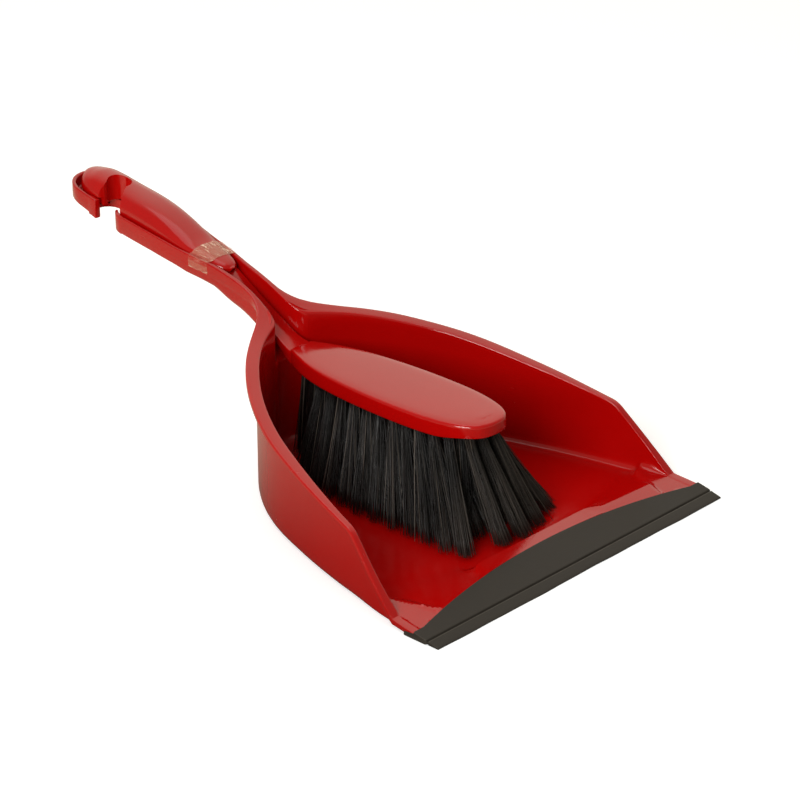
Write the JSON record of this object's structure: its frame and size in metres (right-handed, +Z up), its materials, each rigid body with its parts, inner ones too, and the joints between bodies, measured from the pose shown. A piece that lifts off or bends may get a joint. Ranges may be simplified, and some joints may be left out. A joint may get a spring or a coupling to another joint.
{
  "type": "dustpan and brush",
  "caption": "Moulded dustpan with a flanged rim, rubber front lip and hooked channel handle, with a crowned-grip bristle hand brush stored in it.",
  "frame": {"origin": "centre line of the pan, on the flat underside, 120 mm behind the tip of the rubber lip", "axes": "+Y from the mouth towards the handle, +Z up, +X to the right seen from the mouth side looking along +Y; the mouth faces -Y"},
  "size_m": [0.222, 0.3817, 0.124],
  "materials": {
    "pan_plastic": "gloss injection-moulded polypropylene, light scuffs",
    "brush_plastic": "gloss injection-moulded polypropylene",
    "lip_rubber": "extruded soft rubber, dull",
    "bristle_fibre": "crimped synthetic filament, flagged ends",
    "anchor_wire": "flat drawn wire",
    "clear_tape": "clear packing tape, creased"
  },
  "bodies": {
    "pan": {"pan_shell": "pan_plastic", "lip_clamp": "lip_rubber"},
    "lip": {"lip_blade": "lip_rubber"},
    "brush": {"brush_stock": "brush_plastic", "tuft_anchors": "anchor_wire", "tuft_row_01": "bristle_fibre", "tuft_row_02": "bristle_fibre", "tuft_row_03": "bristle_fibre", "tuft_row_04": "bristle_fibre", "tuft_row_05": "bristle_fibre", "tuft_row_06": "bristle_fibre", "tuft_row_07": "bristle_fibre", "tuft_row_08": "bristle_fibre", "tuft_row_09": "bristle_fibre", "tuft_row_10": "bristle_fibre", "tuft_row_11": "bristle_fibre", "tuft_row_12": "bristle_fibre", "tuft_row_13": "bristle_fibre", "tuft_row_14": "bristle_fibre"},
    "tape": {"tape_strip": "clear_tape"}
  },
  "joints": [
    {"name": "brush_lift", "type": "slide", "parent": "pan", "child": "brush", "axis": [0, 0, 1], "range_m": [0, 0.15]},
    {"name": "tape_peel", "type": "slide", "parent": "brush", "child": "tape", "axis": [0, 0, 1], "range_m": [0, 0.06]},
    {"name": "lip_flex", "type": "hinge", "parent": "pan", "child": "lip", "pos_m": [0, -0.1126, 0.00135], "axis": [-1, 0, 0], "range_deg": [-5, 20], "stiffness_Nm_per_rad": 0.02}
  ]
}
